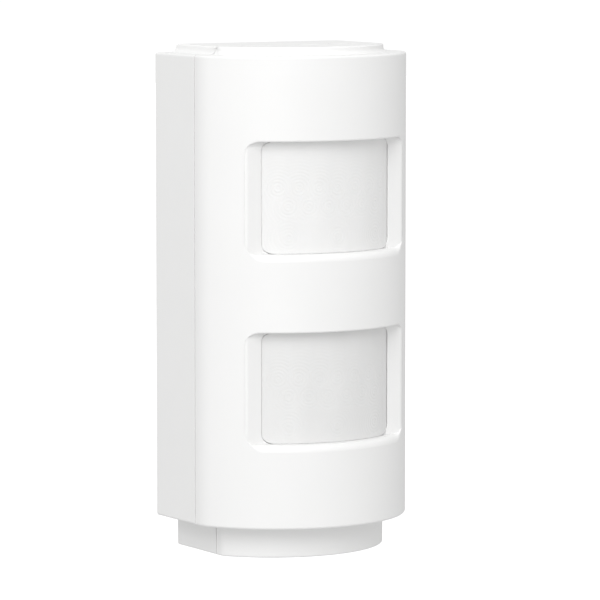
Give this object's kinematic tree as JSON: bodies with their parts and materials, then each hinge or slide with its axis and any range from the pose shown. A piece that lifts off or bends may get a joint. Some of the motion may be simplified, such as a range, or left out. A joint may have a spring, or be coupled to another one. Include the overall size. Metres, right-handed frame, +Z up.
{
  "type": "motion sensor",
  "caption": "Wall-mounted outdoor motion sensor: rear box, hinged D-shaped cover, two recessed windows with curved lenses, cap and plinth steps.",
  "frame": {"origin": "on the wall face, in the middle of its width and half way up the main body", "axes": "+Z up, +Y into the wall, -Y out into the room, +X to the right of someone facing the sensor"},
  "size_m": [0.089, 0.0635, 0.19],
  "materials": {
    "shell": "fine satin moulded",
    "lens": "milky, smooth",
    "seal": "matte",
    "steel": "plated",
    "board": "solder mask",
    "black_plastic": "satin",
    "filter": "dark polished",
    "cell": "printed sleeve, no lettering",
    "red_plastic": "gloss",
    "white_plastic": "gloss",
    "blue_plastic": "gloss",
    "brass": "bright",
    "capacitor": "sleeved can",
    "component": "ceramic body"
  },
  "bodies": {
    "box": {"rear_base": "shell", "hinge_pin": "steel", "cover_seal": "seal", "wall_gasket": "seal", "circuit_board": "board", "board_screws": "steel", "upper_pyro_can": "steel", "lower_pyro_can": "steel", "upper_pyro_filter": "filter", "lower_pyro_filter": "filter", "upper_sensor_collar": "black_plastic", "lower_sensor_collar": "black_plastic", "battery_tray": "black_plastic", "battery_left": "cell", "battery_right": "cell", "battery_contacts": "steel", "tamper_switch": "black_plastic", "wall_tamper_switch": "black_plastic", "dip_switch": "red_plastic", "trimmer_base": "blue_plastic", "learn_button_base": "black_plastic", "status_led": "red_plastic", "radio_board": "board", "radio_shield": "steel", "antenna": "brass", "microcontroller": "black_plastic", "capacitors": "capacitor", "surface_parts": "component"},
    "cover": {"front_cover": "shell", "upper_lens": "lens", "lower_lens": "lens", "upper_lens_frame": "shell", "lower_lens_frame": "shell", "lens_frame_screws": "steel"},
    "tamper_plunger": {"tamper_plunger": "red_plastic"},
    "wall_tamper_plunger": {"wall_tamper_plunger": "red_plastic"},
    "dip_slider_1": {"dip_slider_1": "white_plastic"},
    "dip_slider_2": {"dip_slider_2": "white_plastic"},
    "dip_slider_3": {"dip_slider_3": "white_plastic"},
    "dip_slider_4": {"dip_slider_4": "white_plastic"},
    "trimmer_rotor": {"trimmer_rotor": "brass"},
    "learn_button_cap": {"learn_button_cap": "white_plastic"},
    "lock_washer": {"lock_washer": "seal"},
    "lock_screw": {"lock_screw": "steel"}
  },
  "joints": [
    {"name": "cover_hinge", "type": "hinge", "parent": "box", "child": "cover", "pos_m": [0, -0.03, 0.089], "axis": [-1, 0, 0], "range_deg": [0, 45]},
    {"name": "tamper_plunger_slide", "type": "slide", "parent": "box", "child": "tamper_plunger", "axis": [0, -1, 0], "range_m": [0, 0.0015]},
    {"name": "wall_tamper_slide", "type": "slide", "parent": "box", "child": "wall_tamper_plunger", "axis": [0, 1, 0], "range_m": [-0.0012, 0], "stiffness_N_per_m": 120},
    {"name": "dip_slider_1_slide", "type": "slide", "parent": "box", "child": "dip_slider_1", "axis": [0, 0, 1], "range_m": [0, 0.0018]},
    {"name": "dip_slider_2_slide", "type": "slide", "parent": "box", "child": "dip_slider_2", "axis": [0, 0, 1], "range_m": [0, 0.0018]},
    {"name": "dip_slider_3_slide", "type": "slide", "parent": "box", "child": "dip_slider_3", "axis": [0, 0, 1], "range_m": [0, 0.0018]},
    {"name": "dip_slider_4_slide", "type": "slide", "parent": "box", "child": "dip_slider_4", "axis": [0, 0, 1], "range_m": [0, 0.0018]},
    {"name": "trimmer_turn", "type": "hinge", "parent": "box", "child": "trimmer_rotor", "pos_m": [-0.022, -0.0145, 0.056], "axis": [0, -1, 0], "range_deg": [-130, 130]},
    {"name": "learn_button_press", "type": "slide", "parent": "box", "child": "learn_button_cap", "axis": [0, 1, 0], "range_m": [0, 0.0003], "stiffness_N_per_m": 200},
    {"name": "lock_washer_slide", "type": "slide", "parent": "cover", "child": "lock_washer", "axis": [0, 0, 1], "range_m": [0, 0.0024]},
    {"name": "lock_screw_turn", "type": "hinge", "parent": "lock_washer", "child": "lock_screw", "pos_m": [0, -0.036, -0.097], "axis": [0, 0, 1], "range_deg": [0, 720]}
  ],
  "couplings": [
    {"joint": "tamper_plunger_slide", "follows": "cover_hinge", "m_per_rad": 0.0019},
    {"joint": "lock_screw_turn", "follows": "lock_washer_slide", "rad_per_m": 5235.9}
  ]
}
